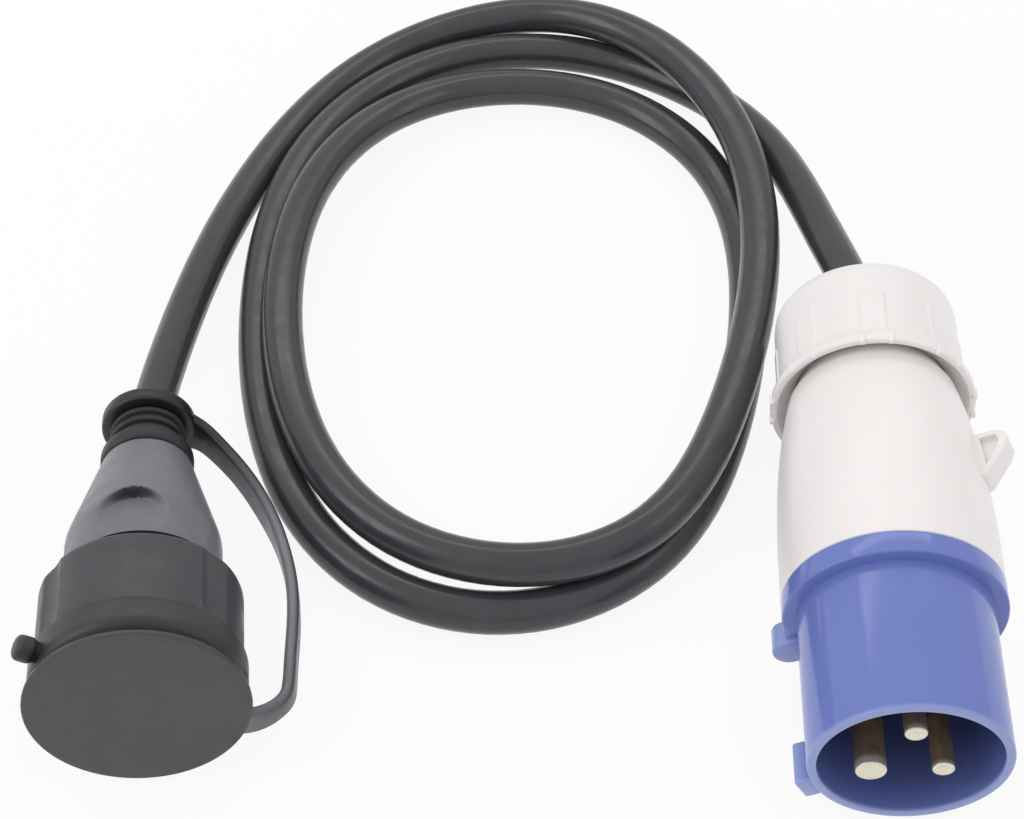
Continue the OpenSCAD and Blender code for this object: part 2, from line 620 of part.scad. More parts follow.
// Black neck sleeve: bead, ridges and the groove that holds the tether ring
module neck_sleeve() color(BLACK) at_coupling() {
    step = (ring_at - bead_end) / ridges;
    lathe(concat(
        [[cable_r + fit, -(sleeve_at + 0.4)], [sleeve_r, -(sleeve_at + 0.4)], [sleeve_r, -bead_at]],
        [for (a = [80 : -16 : -80]) [bead_d / 2 - 2.2 + 2.2 * cos(a), -(bead_at + 2.2 - 2.2 * sin(a))]],
        [
            for (k = [0 : ridges - 1], q = [[0, 0.15], [1, 0.4], [1, 0.6], [0, 0.85]])
                [q[0] == 1 ? ridge_d / 2 : neck_base, -(bead_end + step * (k + q[1]))]
        ],
        [
            [neck_base, -ring_at], [neck_base, -ring_end], [ridge_d / 2 - 0.3, -(ring_end + 0.3)],
            [ridge_d / 2 - 0.3, -(sleeve_end - 0.5)], [ridge_d / 2 - 0.9, -sleeve_end],
            [cable_r + 1, -sleeve_end], [cable_r + fit, -bead_end]
        ]
    ));
}

// Cores inside the coupling
module coupling_core(x, y, tx, col) color(col) at_coupling() {
    m = (jacket_at + contact_end) / 2;
    p = [
        [x, y, -(jacket_at + 6)], [x, y, -jacket_at], [x, y, -(jacket_at - 3)], [(x + tx) / 2, y / 2, -m],
        [tx, 0, -(contact_end + 2)], [tx, 0, -(contact_end - 3)], [tx, 0, -(contact_end - 5)],
        [tx, 0, -(contact_end - 7)]
    ];
    c = spline(p, 2);
    tube_along(concat([[x, y, -jacket_at]], [for (k = [1 : len(c) - 1]) c[k]]), core_r, 8, [0, 1, 0]);
}
module coupling_core_line() coupling_core(2.2, -1.3, pole_pitch / 2, [0.4, 0.25, 0.15]);
module coupling_core_neutral() coupling_core(-2.2, -1.3, -pole_pitch / 2, [0.2, 0.35, 0.7]);
module coupling_core_earth() coupling_core(0, 2.3, 0, [0.45, 0.6, 0.2]);

// Paths of the tether and of the cap's tab in the plane of the axis, as distance from the axis and
// height. They butt at the hinge line, and the cap swings about the strap's outer face there.
hinge_at = skirt_end;
hinge_r = cap_r + hinge_out;
ring_r = ring_d / 2;
function hang(out, share) = [hinge_r + out, -(hinge_at + share * (ring_at - hinge_at))];
tether_path = concat(
    spline([
        [ring_r - 6.5, -(ring_at + 2)], [ring_r - 2, -(ring_at + 2)], [ring_r + 2, -(ring_at + 0.8)],
        hang(-15.6, 0.94), hang(-10.6, 0.855), hang(-6.1, 0.735), hang(-2.3, 0.575), hang(0.4, 0.396),
        hang(1.2, 0.222), hang(0, 0.078), [hinge_r, -(hinge_at + 2)]
    ], 3),
    [[hinge_r, -(hinge_at + 2)], [hinge_r, -hinge_at]]
);
tab_t = strap_t - 0.6;
tab_r = hinge_r + 0.2;
tab_path = concat(
    [[tab_r, -(hinge_at - run_gap)], [tab_r, -(hinge_at - 1.6)]],
    spline([
        [tab_r + 0.3, -(hinge_at + 1.5)], [tab_r - 0.1, -(hinge_at - 2.6)], [tab_r - 1.1, -(hinge_at - 5.2)],
        [tab_r - 3.4, -(hinge_at - 7.6)], [cap_r + 2.4, -(hinge_at - 9.5)], [cap_r - 0.8, -0.25],
        [cap_r - 4, -0.25], [cap_r - 7, -0.25]
    ], 3)
);

// Tether: ring round the neck and the strap to the cap
module cap_tether() color(BLACK) at_coupling() difference() {
    union() {
        rotate([0, 0, strap_angle]) {
            rod(ring_r, ring_at + fit, ring_end - fit);
            translate([0, 0, -(ring_at + 2 + strap_t / 2)]) linear_extrude(strap_t) polygon([
                [0, ring_r], [4, ring_r - 0.8], [ring_r + 0.6, strap_w / 2 + 1.2],
                [ring_r + 1.2, strap_w / 2], [ring_r + 1.2, -strap_w / 2],
                [ring_r + 0.6, -strap_w / 2 - 1.2], [4, -ring_r + 0.8], [0, -ring_r]
            ]);
        }
        rib(strap_angle, strap_w, band([for (k = [1 : len(tether_path) - 1]) tether_path[k]], strap_t));
    }
    rod(neck_base + 0.2, ring_at - 1, ring_end + 1);
}

// Cap: face, groove, skirt, pull nub and the tab of the tether
module cap() color(DARK) at_coupling() difference() {
    union() {
        lathe([
            [0, cap_front], [cap_r - 1.2, cap_front], [cap_r - 0.4, cap_front - 0.25],
            [cap_r, cap_front - 0.8], [cap_r - 0.2, cap_front - rim_t],
            [skirt_r - groove_depth, cap_front - rim_t - 0.2], [skirt_r - groove_depth, -(cap_t - 1)],
            [skirt_r - 0.5, -(skirt_at - 1.4)], [skirt_r, -skirt_at], [skirt_r, -(skirt_end - 0.4)],
            [skirt_r - 0.4, -skirt_end], [skirt_r - skirt_wall, -skirt_end], [skirt_r - skirt_wall, -cap_t],
            [0, -cap_t]
        ]);
        polar(nub_angle, skirt_r + nub_d / 2 - 0.3) translate([0, 0, -(skirt_at + 1.6)])
            sphere(r = nub_d / 2);
        rib(strap_angle, strap_w, band(tab_path, tab_t));
    }
    rod(skirt_r - skirt_wall, cap_t, skirt_end + 5);
}

plug_shroud();
pin_carrier();
pin_earth();
pin_line();
pin_neutral();
plug_screw_earth();
plug_screw_line();
plug_screw_neutral();
plug_body();
gland_seal();
gland_claw();
gland_nut();
plug_core_earth();
plug_core_line();
plug_core_neutral();
cable();
coupling_collar();
socket_insert();
contact_line();
contact_neutral();
earth_bow();
coupling_screw_line();
coupling_screw_neutral();
coupling_screw_earth();
coupling_grip();
cord_clamp();
clamp_screw_right();
clamp_screw_left();
neck_sleeve();
coupling_core_line();
coupling_core_neutral();
coupling_core_earth();
cap_tether();
cap();
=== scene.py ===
"""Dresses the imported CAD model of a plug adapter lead: pieces, materials, stage and camera."""
import json
import math

import bmesh
import bpy
import numpy as np
from mathutils import Matrix, Vector


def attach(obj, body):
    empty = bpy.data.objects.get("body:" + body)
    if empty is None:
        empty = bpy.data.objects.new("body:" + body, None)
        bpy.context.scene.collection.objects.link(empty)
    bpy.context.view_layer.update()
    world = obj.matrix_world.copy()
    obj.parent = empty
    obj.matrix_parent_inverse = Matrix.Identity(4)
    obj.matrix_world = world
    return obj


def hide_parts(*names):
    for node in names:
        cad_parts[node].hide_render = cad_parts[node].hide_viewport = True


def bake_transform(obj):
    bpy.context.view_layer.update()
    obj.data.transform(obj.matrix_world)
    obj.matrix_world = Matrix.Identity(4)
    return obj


bl_info = {
    "name": "Plug adapter lead",
    "version": (1, 0, 0),
    "blender": (4, 5, 0),
    "location": "View3D > Sidebar > Lead",
    "description": "Builds the visible pieces of a plug adapter lead around its CAD model",
    "category": "Object",
}

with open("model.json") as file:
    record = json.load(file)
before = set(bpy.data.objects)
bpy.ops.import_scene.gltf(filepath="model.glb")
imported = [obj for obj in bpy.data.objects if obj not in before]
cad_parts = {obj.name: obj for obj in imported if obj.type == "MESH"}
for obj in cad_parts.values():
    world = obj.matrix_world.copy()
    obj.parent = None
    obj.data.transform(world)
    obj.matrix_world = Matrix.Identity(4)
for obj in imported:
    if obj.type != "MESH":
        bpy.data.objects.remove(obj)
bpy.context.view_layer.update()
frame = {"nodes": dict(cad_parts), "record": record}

# The two connectors' own frames, in millimetres: Z is 0 at the front face and falls to the rear.
MM = Matrix.Scale(0.001, 4)


def turned(degrees, axis):
    """A rotation about an axis."""
    return Matrix.Rotation(math.radians(degrees), 4, axis)


def connector_frame(place, yaw, tilt):
    """A connector's frame: its face at a place, its axis turned on the floor and tilted to it."""
    return MM @ Matrix.Translation(place) @ (turned(yaw, "Z") @ turned(90 - tilt, "X"))


# The tilted coupling lies on its collar, which touches the floor COLLAR_FOOT behind the face.
TILT, COLLAR_R, COLLAR_FOOT = 5.6, 23.2, 26.9
REST = COLLAR_R * math.cos(math.radians(TILT)) + COLLAR_FOOT * math.sin(math.radians(TILT))
PLUG = connector_frame((80.4, -65.7, 25.5), -1.8, 0)
COUPLING = connector_frame((-86.8, -51, REST), 5.6, TILT)

# Where features stand about the axes, in degrees: on the plug the shroud's key and the body's hook, on the coupling
# the cap's nub and the strap.
KEY_ANGLE, HOOK_ANGLE, NUB_ANGLE, STRAP_ANGLE = 210, 27, 147, -16
PIN_CIRCLE_R = 9.1

# The cable's route, as in the CAD source: points of a uniform cubic spline, in millimetres.
ROUTE = [
    (-94.6, 63, 12), (-88.6, 107, 7.5), (-74.6, 153, 5), (-52.6, 188, 5.5), (-22.6, 207, 7.5), (10.4, 207, 13.5),
    (40.4, 185, 18.5), (61.6, 145, 18.8), (63.7, 96, 16.8), (51.4, 45, 16.4), (33.4, 4, 16.7), (0.4, -8, 14.5),
    (-34.6, 3, 12), (-58.6, 34, 12), (-67.6, 79, 15), (-63.6, 126, 15), (-44.6, 163, 10.5), (-10.6, 181, 7),
    (27.4, 175, 6.5), (55.6, 145, 6), (61.8, 100.5, 5.6), (53.2, 48, 5.4), (36.4, 6, 5.5), (4.4, -14, 5.5),
    (-29.6, -11, 5.5), (-56.6, 12, 5.5), (-70.6, 51, 5.5), (-74.6, 98, 6), (-68.6, 141, 8.5), (-48.6, 176, 7.5),
    (-16.6, 197, 6), (19.4, 197, 5), (52.4, 176, 7), (71.4, 143, 13), (78.4, 104, 19),
]
# How far behind each face the cable's jacket starts, in millimetres, and the splines' samples to a segment.
JACKET_COUPLING, JACKET_PLUG = 58.3, 95.0
CABLE_SAMPLES, STRAP_SAMPLES = 9, 6

# The coupling's flutes and thumb recesses. The recess's floor slopes, with its radius given at THUMB_FLOOR_AT.
FLUTE_ANGLES, FLUTE_R, FLUTE_DEPTH = (38, 142, 218, 322), 9, 1.1
THUMB_ANGLES, THUMB_ARCH_AT, THUMB_ARCH_R, THUMB_WALL = (92, 272), 42.1, 8.8, 1.5
THUMB_FLOOR_R, THUMB_FLOOR_AT, THUMB_SLOPE = 14.5, 49, 0.22
GRIP_SEGMENTS, GRIP_ROW = 420, 0.35

# The strap stands more upright beside the cap, by this twist in degrees, and flares into the ring. Its edges are
# rounded by a share of its thickness.
STRAP_TWIST, STRAP_FLARE, STRAP_FLARE_AT, STRAP_FLARE_FADE = 16, 6, 8, 4.5
STRAP_EDGE = 0.42

# The camera's focal length and the picture's width, in pixels of the photograph.
FOCAL_PX, WIDTH_PX, SENSOR = 2100, 1024, 36


def on_axis(matrix, behind):
    """The point on a connector's axis, so far behind its face, in millimetres."""
    return (matrix @ Vector((0, 0, -behind))) * 1000


def spline(points, per):
    """Uniform cubic spline through control points, per samples to a segment."""
    p = np.array([tuple(q) for q in points], float)
    out = []
    for i in range(len(p) - 3):
        for k in range(per + (i == len(p) - 4)):
            t = k / per
            w = ((1 - t) ** 3, 3 * t**3 - 6 * t * t + 4, -3 * t**3 + 3 * t * t + 3 * t + 1, t**3)
            out.append(sum(w[n] * p[i + n] for n in range(4)) / 6)
    return np.array(out)


def smoothstep(low, high, x):
    """0 below low, 1 above high, and an even ease between."""
    t = min(1.0, max(0.0, (x - low) / (high - low)))
    return t * t * (3 - 2 * t)


def apart(angle, degrees):
    """How far an angle is from a place on the circle, in radians, with its sign."""
    return (angle - math.radians(degrees) + math.pi) % (2 * math.pi) - math.pi


# Meshes. The shapes are vertices and faces, or profiles of them, in a connector's own millimetres.


def rounded(corners, steps=4, closed=True):
    """A profile of (radius, place behind the face, corner radius), with its corners turned into arcs."""
    out = []
    n = len(corners)
    for i, (r, at, rad) in enumerate(corners):
        here = Vector((r, -at))
        if rad <= 0 or (not closed and i in (0, n - 1)):
            out.append(here)
            continue
        before = Vector((corners[i - 1][0], -corners[i - 1][1])) - here
        after = Vector((corners[(i + 1) % n][0], -corners[(i + 1) % n][1])) - here
        reach = min(rad, 0.48 * before.length, 0.48 * after.length)
        a, b = here + before.normalized() * reach, here + after.normalized() * reach
        for k in range(steps + 1):
            t = k / steps
            out.append(a * (1 - t) ** 2 + here * 2 * t * (1 - t) + b * t * t)
    return [(p.x, p.y) for p in out]


def divided(profile, step, closed=True):
    """The same profile with its long sides cut into pieces of about step."""
    out = []
    n = len(profile)
    for i in range(n if closed else n - 1):
        a, b = Vector(profile[i]), Vector(profile[(i + 1) % n])
        count = max(1, int((b - a).length / step))
        out += [tuple(a.lerp(b, k / count)) for k in range(count)]
    return out if closed else out + [profile[-1]]


def revolve(profile, segments=128, shape=None, closed=True):
    """Turns a profile about Z. shape(r, z, angle) may change the radius."""
    verts, faces = [], []
    n = len(profile)
    for r, z in profile:
        for j in range(segments):
            a = 2 * math.pi * j / segments
            q = shape(r, z, a) if shape else r
            verts.append((q * math.cos(a), q * math.sin(a), z))
    for i in range(n if closed else n - 1):
        for j in range(segments):
            k, m = (j + 1) % segments, (i + 1) % n
            faces.append((i * segments + j, m * segments + j, m * segments + k, i * segments + k))
    return verts, faces


def sweep(sections):
    """Skin over closed sections, each a list of points, with flat ends."""
    verts = [tuple(q) for section in sections for q in section]
    n, last = len(sections[0]), len(sections) - 1
    faces = [
        (i * n + j, i * n + (j + 1) % n, (i + 1) * n + (j + 1) % n, (i + 1) * n + j)
        for i in range(last) for j in range(n)
    ]
    faces += [tuple(reversed(range(n))), tuple(range(last * n, (last + 1) * n))]
    return verts, faces


def round_bar(width, thick, radius, steps):
    """Section of a flat bar with rounded edges."""
    out = []
    for sx, sy, start in ((1, 1, 0), (-1, 1, 90), (-1, -1, 180), (1, -1, 270)):
        for k in range(steps + 1):
            a = math.radians(start + 90 * k / steps)
            out.append((
                sx * (width / 2 - radius) + radius * math.cos(a), sy * (thick / 2 - radius) + radius * math.sin(a),
            ))
    return out


def prism(outline, low, high, bevel, turn=Matrix()):
    """A flat outline pulled from low to high, with rounded edges, then turned."""
    bm = bmesh.new()
    bottom = [bm.verts.new((x, y, low)) for x, y in outline]
    face = bm.faces.new(bottom)
    moved = bmesh.ops.extrude_face_region(bm, geom=[face])["geom"]
    bmesh.ops.translate(bm, verts=[g for g in moved if isinstance(g, bmesh.types.BMVert)], vec=(0, 0, high - low))
    bmesh.ops.recalc_face_normals(bm, faces=bm.faces)
    if bevel > 0:
        bmesh.ops.bevel(bm, geom=bm.edges[:], offset=bevel, segments=3, profile=0.5, affect="EDGES")
    bmesh.ops.transform(bm, matrix=turn, verts=bm.verts)
    bm.verts.index_update()
    verts = [tuple(v.co) for v in bm.verts]
    faces = [tuple(v.index for v in f.verts) for f in bm.faces]
    bm.free()
    return verts, faces


def joined(*parts):
    """Several shapes as one list of vertices and faces."""
    verts, faces = [], []
    for v, f in parts:
        base = len(verts)
        verts += list(v)
        faces += [tuple(i + base for i in face) for face in f]
    return verts, faces


def piece(name, geometry, matrix, material, body, replaces=(), sharp=40):
    """A mesh object in the shared frame. It may ride on a body and replace CAD nodes."""
    mesh = bpy.data.meshes.new(name)
    mesh.from_pydata(geometry[0], [], geometry[1])
    mesh.transform(matrix)
    bm = bmesh.new()
    bm.from_mesh(mesh)
    bmesh.ops.recalc_face_normals(bm, faces=bm.faces)
    bm.to_mesh(mesh)
    bm.free()
    mesh.shade_smooth()
    mesh.set_sharp_from_angle(angle=math.radians(sharp))
    mesh.materials.append(material)
    obj = bpy.data.objects.new(name, mesh)
    bpy.context.scene.collection.objects.link(obj)
    if body:
        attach(obj, body)
    if replaces:
        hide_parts(*replaces)
    return obj


def cut(obj, geometry, matrix):
    """Takes a closed shape out of a piece."""
    tool = piece("cutter", geometry, matrix, obj.data.materials[0], None)
    mod = obj.modifiers.new("cut", "BOOLEAN")
    mod.operation, mod.solver, mod.object = "DIFFERENCE", "EXACT", tool
    settle(obj)
    bpy.data.objects.remove(tool)


def settle(obj):
    """Turns a piece's modifiers into plain mesh."""
    bpy.context.view_layer.update()
    mesh = bpy.data.meshes.new_from_object(obj.evaluated_get(bpy.context.evaluated_depsgraph_get()))
    obj.modifiers.clear()
    obj.data = mesh
    mesh.shade_smooth()
    mesh.set_sharp_from_angle(angle=math.radians(40))


def polar_array(name, source, count, start, material):
    """Geometry Nodes: the source piece set count times about its Z axis, from a start in degrees."""
    tree = bpy.data.node_groups.new(name, "GeometryNodeTree")
    tree.interface.new_socket("Geometry", in_out="OUTPUT", socket_type="NodeSocketGeometry")
    node = tree.nodes.new
    link = tree.links.new
    points = node("GeometryNodePoints")
    points.inputs["Count"].default_value = count
    info = node("GeometryNodeObjectInfo")
    info.inputs["Object"].default_value = source
    index = node("GeometryNodeInputIndex")
    step = node("ShaderNodeMath")
    step.operation = "MULTIPLY_ADD"
    step.inputs[1].default_value = 2 * math.pi / count
    step.inputs[2].default_value = math.radians(start)
    euler = node("ShaderNodeCombineXYZ")
    turn = node("FunctionNodeEulerToRotation")
    place = node("GeometryNodeInstanceOnPoints")
    real = node("GeometryNodeRealizeInstances")
    paint = node("GeometryNodeSetMaterial")
    paint.inputs["Material"].default_value = material
    out = node("NodeGroupOutput")
    link(index.outputs[0], step.inputs[0])
    link(step.outputs[0], euler.inputs["Z"])
    link(euler.outputs[0], turn.inputs[0])
    link(points.outputs[0], place.inputs["Points"])
    link(info.outputs["Geometry"], place.inputs["Instance"])
    link(turn.outputs[0], place.inputs["Rotation"])
    link(place.outputs[0], real.inputs[0])
    link(real.outputs[0], paint.inputs["Geometry"])
    link(paint.outputs[0], out.inputs[0])
    obj = bpy.data.objects.new(name, bpy.data.meshes.new(name))
    bpy.context.scene.collection.objects.link(obj)
    obj.modifiers.new("array", "NODES").node_group = tree
    settle(obj)
    bpy.data.objects.remove(source)
    return obj


# Materials. All are node-based and read object coordinates.


class Shader:
    """A material under way: its node tree, its shader and the object coordinates."""

    def __init__(self, name):
        self.material = bpy.data.materials.new(name)
        self.material.use_nodes = True
        self.tree = self.material.node_tree
        self.bsdf = self.tree.nodes["Principled BSDF"]
        source = self.add("ShaderNodeTexCoord")
        self.coords, self.normal = source.outputs["Object"], source.outputs["Normal"]

    def add(self, kind, **values):
        node = self.tree.nodes.new(kind)
        for key, value in values.items():
            setattr(node, key, value)
        return node

    def link(self, a, b):
        self.tree.links.new(a, b)

    def noise(self, scale, detail=3.0, rough=0.5, stretch=None):
        node = self.add("ShaderNodeTexNoise")
        node.inputs["Scale"].default_value = scale
        node.inputs["Detail"].default_value = detail
        node.inputs["Roughness"].default_value = rough
        source = self.coords
        if stretch:
            mapping = self.add("ShaderNodeMapping")
            mapping.inputs["Scale"].default_value = stretch
            self.link(source, mapping.inputs["Vector"])
            source = mapping.outputs[0]
        self.link(source, node.inputs["Vector"])
        return node.outputs["Fac"]

    def ramp(self, value, *stops):
        node = self.add("ShaderNodeValToRGB")
        ramp = node.color_ramp
        while len(ramp.elements) < len(stops):
            ramp.elements.new(0.5)
        for element, (at, colour) in zip(ramp.elements, stops):
            element.position = at
            element.color = (*colour, 1)
        self.link(value, node.inputs["Fac"])
        return node.outputs["Color"]

    def mix(self, factor, a, b, blend="MIX"):
        node = self.add("ShaderNodeMix", data_type="RGBA", blend_type=blend)
        if isinstance(factor, (int, float)):
            node.inputs["Factor"].default_value = factor
        else:
            self.link(factor, node.inputs["Factor"])
        self.link(a, node.inputs[6])
        self.link(b, node.inputs[7])
        return node.outputs[2]

    def spread(self, value, low, high, start=0.3, end=0.7):
        """Maps start to end, a noise's usual reach, onto low to high."""
        node = self.add("ShaderNodeMapRange")
        node.inputs["To Min"].default_value = low
        node.inputs["To Max"].default_value = high
        node.inputs["From Min"].default_value = start
        node.inputs["From Max"].default_value = end
        self.link(value, node.inputs["Value"])
        return node.outputs[0]

    def reach(self, vector, direction, low, high):
        """How far a vector reaches along a direction, between low and high: 0 to 1."""
        along = self.add("ShaderNodeVectorMath", operation="DOT_PRODUCT")
        along.inputs[1].default_value = direction
        self.link(vector, along.inputs[0])
        return self.spread(along.outputs["Value"], 0, 1, low, high)

    def behind(self, matrix, low, high):
        """How far a point lies between two places behind a connector's face, in millimetres: 0 to 1."""
        axis = -matrix.col[2].to_3d().normalized()
        start = matrix.translation.dot(axis)
        return self.reach(self.coords, axis, start + low / 1000, start + high / 1000)

    def from_axis(self, matrix, low, high):
        """How far a point lies from a connector's axis, between two radii in millimetres: 0 to 1."""
        axis = matrix.col[2].to_3d().normalized()
        value = self.coords
        for operation, other in (("SUBTRACT", matrix.translation), ("CROSS_PRODUCT", axis), ("LENGTH", (0, 0, 0))):
            node = self.add("ShaderNodeVectorMath", operation=operation)
            node.inputs[1].default_value = other
            self.link(value, node.inputs[0])
            value = node.outputs["Value" if operation == "LENGTH" else "Vector"]
        return self.spread(value, 0, 1, low / 1000, high / 1000)

    def toned(self, colour, matrix, stops):
        """A colour times factors that are set at places behind a connector's face, in millimetres."""
        low, high = stops[0][0], stops[-1][0]
        steps = [((at - low) / (high - low), (factor, factor, factor)) for at, factor in stops]
        return self.mix(1.0, colour, self.ramp(self.behind(matrix, low, high), *steps), "MULTIPLY")

    def bump(self, height, strength, distance, below=None):
        node = self.add("ShaderNodeBump")
        node.inputs["Strength"].default_value = strength
        node.inputs["Distance"].default_value = distance
        self.link(height, node.inputs["Height"])
        if below is not None:
            self.link(below, node.inputs["Normal"])
        return node.outputs[0]

    def set(self, **sockets):
        """Constant values for sockets of the shader, with _ for a space."""
        for key, value in sockets.items():
            self.bsdf.inputs[key.replace("_", " ")].default_value = value

    def finish(self, colour=None, roughness=None, normal=None):
        if colour is not None:
            self.link(colour, self.bsdf.inputs["Base Color"])
        if roughness is not None:
            self.link(roughness, self.bsdf.inputs["Roughness"])
        if normal is not None:
            self.link(normal, self.bsdf.inputs["Normal"])
        return self.material


def shade(colour, factor):
    """A lighter or darker tone of a colour."""
    return tuple(min(1.0, c * factor) for c in colour)


def plastic(name, colour, rough, grain=1.0, highlight_colour=None):
    """Moulded plastic: faint flow marks, fine orange peel and uneven gloss.

    With a highlight colour it is the shroud's: painted shade darkening it deeper inside, and a painted highlight in
    that paler colour on its front edge and on the side with the key.
    """
    s = Shader(name)
    flow = s.noise(38, 4, 0.55, (1, 0.35, 1))
    specks = s.noise(2600, 2, 0.6)
    base = s.ramp(flow, (0.3, shade(colour, 0.955)), (0.7, shade(colour, 1.03)))
    dust = s.ramp(specks, (0.26, shade(colour, 0.86)), (0.34, colour))
    tone = s.mix(0.25, base, dust)
    if highlight_colour:
        # Painted shade: inside the shroud the colour darkens the deeper it goes.
        tone = s.mix(s.from_axis(PLUG, 20.2, 21), s.toned(tone, PLUG, [(1, 0.85), (18, 0.45)]), tone)
        # Painted highlight: a paler colour on the shroud's front edge and on the side with its key, lug and flange.
        painted_highlight = s.ramp(flow, (0.3, shade(highlight_colour, 0.92)), (0.7, highlight_colour))
        side = (PLUG @ turned(KEY_ANGLE, "Z")).col[0].to_3d().normalized()
        start = PLUG.translation.dot(side)
        tone = s.mix(s.reach(s.coords, side, start + 0.0224, start + 0.025), tone, painted_highlight)
        tone = s.mix(s.behind(PLUG, 0.2, 1.3), painted_highlight, tone)
    peel = s.bump(s.noise(900, 2), 0.12 * grain, 0.0002)
    fine = s.bump(specks, 0.05 * grain, 0.00008, peel)
    s.set(IOR=1.49)
    return s.finish(tone, s.spread(s.noise(120, 3), rough - 0.05, rough + 0.07), fine)


def rubber(name, colour, rough, dusty=0.25, relief=1.0, stops=None, corners=False, outside=False):
    """Moulded rubber: fine grain, soft cloudy bloom and a little pale dust.

    stops set its tone behind the coupling's face. corners paints shade on surfaces that face the front, such as the
    thumb recesses' arched walls and the crevice behind the collar.
    outside paints shade on what faces away from the coupling on the strap's side.
    """
    s = Shader(name)
    cloud = s.noise(60, 5, 0.6)
    grain = s.noise(3200, 3, 0.65)
    base = s.ramp(cloud, (0.3, shade(colour, 0.86)), (0.72, shade(colour, 1.16)))
    dust = s.ramp(s.noise(1500, 4, 0.7), (0.62, shade(colour, 0.97)), (0.78, shade(colour, 1.75)))
    tone = s.mix(dusty, base, dust)
    if stops:
        tone = s.toned(tone, COUPLING, stops)
    if corners:
        # Painted shade: surfaces facing the front, such as the thumb arches' walls and the crevice behind the collar,
        # take a dark tone.
        front = COUPLING.col[2].to_3d().normalized()
        painted_shade = s.ramp(cloud, (0.3, shade(colour, 0.1)), (0.7, shade(colour, 0.16)))
        tone = s.mix(s.reach(s.normal, front, 0.2, 0.7), tone, painted_shade)
    if outside:
        # Painted shade on the strap's outer face, the side turned away from the coupling.
        away = COUPLING.col[0].to_3d().normalized()
        shadow = s.ramp(s.reach(s.normal, away, 0.0, 0.7), (0, (1, 1, 1)), (1, (0.33, 0.33, 0.33)))
        tone = s.mix(1.0, tone, shadow, "MULTIPLY")
    skin = s.bump(s.noise(420, 3), 0.1 * relief, 0.0003)
    fine = s.bump(grain, 0.16 * relief, 0.00012, skin)
    s.set(IOR=1.5)
    return s.finish(tone, s.spread(s.noise(200, 4), rough - 0.06, rough + 0.1), fine)


def metal(name, colour, rough, axis_stretch):
    """Drawn metal: fine lines across the axis, dull patches and darker stains."""
    s = Shader(name)
    lines = s.noise(900, 3, 0.7, axis_stretch)
    stain = s.noise(240, 4, 0.6)
    tone = s.ramp(stain, (0.32, shade(colour, 0.62)), (0.55, colour), (0.8, shade(colour, 1.12)))
    s.set(Metallic=1.0)
    return s.finish(tone, s.spread(stain, rough - 0.06, rough + 0.12), s.bump(lines, 0.22, 0.00012))


def pin_metal(name, colour, dark):
    """Plated pin: bright at the tip, browner along the barrel."""
    s = Shader(name)
    stain = s.noise(260, 3, 0.5)
    bright = s.ramp(s.noise(2200, 2, 0.5), (0.35, shade(colour, 0.86)), (0.6, colour))
    brown = s.ramp(stain, (0.3, shade(dark, 0.8)), (0.7, shade(dark, 1.2)))
    s.set(Metallic=0.7)
    return s.finish(s.mix(s.behind(PLUG, 2.2, 3.2), bright, brown), s.spread(stain, 0.24, 0.36))


MATERIALS = {}
# Tones of the strap and the cap: millimetres behind the coupling's face, and the factor there.
# The strap's grey darkens to black at the ring by the neck: partly its own tones, partly a painted sheen on its
# lighter run.
STRAP_TONES_AND_SHEEN = [(0, 0.75), (20, 1), (50, 1), (60, 0.75), (67, 0.56), (72, 0.42), (76, 0.28), (82, 0.1), (85, 0.074)]
# The cap: painted shade in the groove behind the face and along the skirt's rear edge; the skirt itself darker.
CAP_TONES_AND_SHADE = [(-1, 1), (0.4, 1), (0.9, 0.25), (2.5, 0.25), (4.2, 0.52), (5.6, 0.68), (9.4, 0.68), (10.2, 0.4)]


def material(name):
    """Makes each material once, from the panel's colours."""
    if name not in MATERIALS:
        look = bpy.context.scene.lead_look
        rub, cable = tuple(look.rubber_colour), tuple(look.cable_colour)
        makers = {
            "white_plastic": lambda: plastic(name, tuple(look.white_colour), 0.36),
            # The last colour here is the shroud's painted highlight.
            "blue_plastic": lambda: plastic(name, tuple(look.blue_colour), 0.13, 0.4, (0.28, 0.345, 0.65)),
            "navy_plastic": lambda: plastic(name, shade(tuple(look.blue_colour), 0.33), 0.45),
            "black_plastic": lambda: plastic(name, (0.02, 0.02, 0.022), 0.42),
            "dark_rubber": lambda: rubber(name, rub, 0.4),
            # cap_rubber carries painted shade in the groove and at the skirt's rear edge.
            "cap_rubber": lambda: rubber(name, shade(rub, 1.04), 0.4, stops=CAP_TONES_AND_SHADE),
            # grey_rubber paints shade on its front-facing walls.
            "grey_rubber": lambda: rubber(name, shade(rub, 3.3), 0.36, corners=True),
            "black_rubber": lambda: rubber(name, shade(rub, 0.35), 0.46),
            # strap_rubber carries painted sheen in its tones and painted shade on its outer face.
            "strap_rubber": lambda: rubber(name, shade(rub, 4.2), 0.34, stops=STRAP_TONES_AND_SHEEN, outside=True),
            "cable_rubber": lambda: rubber(name, cable, 0.2, 0.15, 0.4),
            "brass": lambda: metal(name, (0.66, 0.48, 0.2), 0.32, (1, 0.2, 1)),
            "pin_metal": lambda: pin_metal(name, (0.8, 0.76, 0.61), (0.4, 0.28, 0.16)),
            "steel": lambda: metal(name, (0.6, 0.6, 0.6), 0.3, (0.3, 1, 1)),
            "core_brown": lambda: plastic(name, (0.16, 0.06, 0.025), 0.4),
            "core_blue": lambda: plastic(name, (0.03, 0.1, 0.42), 0.4),
            "core_green": lambda: plastic(name, (0.18, 0.34, 0.04), 0.4),
        }
        MATERIALS[name] = makers[name]()
    return MATERIALS[name]


